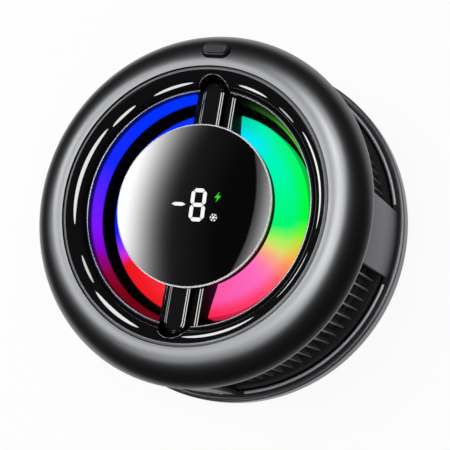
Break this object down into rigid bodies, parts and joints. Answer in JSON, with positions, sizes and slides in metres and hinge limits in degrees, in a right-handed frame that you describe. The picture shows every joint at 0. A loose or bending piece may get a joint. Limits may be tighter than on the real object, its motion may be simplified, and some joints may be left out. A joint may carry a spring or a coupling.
{
  "type": "phone cooling fan",
  "caption": "Round magnetic phone cooler with a cold plate, blower, finned heat sink, lit air intake, display on two spokes, power button and USB-C inlet.",
  "frame": {"origin": "centre of the cold plate's face, which meets the phone", "axes": "+Z out of the lit front, +Y towards the power button, -Y towards the USB-C inlet"},
  "size_m": [0.068, 0.068, 0.0287],
  "materials": {
    "satin_shell": "satin graphite, fine metallic grain",
    "trim_metal": "polished",
    "gloss_black": "piano black",
    "light_wall": "lit diffuser, colour changes round it",
    "light_floor": "lit diffuser, colour changes round it",
    "display_glass": "black, polished",
    "button_satin": "satin graphite",
    "panel_grey": "satin grey",
    "flange_satin": "satin graphite",
    "cage_black": "black",
    "fin_black": "black anodised",
    "wheel_black": "black",
    "board_green": "solder resist",
    "board_white": "white solder resist",
    "chip_lens": "clear yellowish",
    "display_white": "white",
    "switch_metal": "stamped",
    "plunger_white": "white",
    "motor_steel": "rolled",
    "magnet_dark": "bonded ferrite",
    "clip_plastic": "natural",
    "bearing_bronze": "sintered",
    "coil_copper": "enamelled copper",
    "chip_black": "moulded",
    "port_steel": "nickel plated",
    "ceramic_white": "fired alumina",
    "leg_grey": "bismuth telluride",
    "lead_red": "silicone insulated",
    "foam_grey": "closed-cell foam",
    "cold_aluminium": "fine brushed",
    "magnet_nickel": "nickel plated",
    "shield_steel": "zinc plated",
    "pad_silicone": "matt silicone",
    "screw_steel": "zinc plated"
  },
  "bodies": {
    "housing": {"front_ring": "satin_shell", "trim_ring": "trim_metal", "front_bezel": "gloss_black", "spoke_arms": "gloss_black", "spoke_caps": "gloss_black", "display_cup": "gloss_black", "light_ring": "light_wall", "light_dish": "light_floor", "display_lens": "display_glass", "panel_right": "panel_grey", "panel_top": "panel_grey", "panel_left": "panel_grey", "port_panel": "panel_grey", "rear_cover": "flange_satin", "vent_cage": "cage_black", "cooling_fins": "fin_black", "heat_sink": "fin_black", "display_board": "board_green", "front_board": "board_green", "button_board": "board_green", "motor_board": "board_green", "main_board": "board_green", "led_board": "board_white", "led_chips": "chip_lens", "ring_chips": "chip_lens", "display_module": "display_white", "switch_body": "switch_metal", "thrust_pad": "plunger_white", "stator_core": "motor_steel", "bearing_sleeve": "bearing_bronze", "bearing_tube": "bearing_bronze", "stator_coils": "coil_copper", "board_chips": "chip_black", "port_tongue": "chip_black", "port_shell": "port_steel", "hot_ceramic": "ceramic_white", "cold_ceramic": "ceramic_white", "tec_legs": "leg_grey", "tec_leads": "lead_red", "foam_ring": "foam_grey", "cold_plate": "cold_aluminium", "magnets": "magnet_nickel", "magnet_shield": "shield_steel", "grip_pad": "pad_silicone", "case_screws": "screw_steel", "ring_screws": "screw_steel", "sink_screws": "screw_steel", "dish_screws": "screw_steel"},
    "rotor": {"wheel_plate": "wheel_black", "fan_blades": "wheel_black", "wheel_rim": "wheel_black", "rotor_can": "motor_steel", "rotor_magnet": "magnet_dark", "motor_shaft": "motor_steel", "shaft_clip": "clip_plastic"},
    "button": {"power_button": "button_satin", "switch_plunger": "plunger_white"}
  },
  "joints": [
    {"name": "fan_spin", "type": "hinge", "parent": "housing", "child": "rotor", "pos_m": [0, 0, 0.01], "axis": [0, 0, 1], "continuous": true},
    {"name": "button_press", "type": "slide", "parent": "housing", "child": "button", "axis": [0, -0.279, -0.9603], "range_m": [0, 0.0003], "stiffness_N_per_m": 1500}
  ]
}
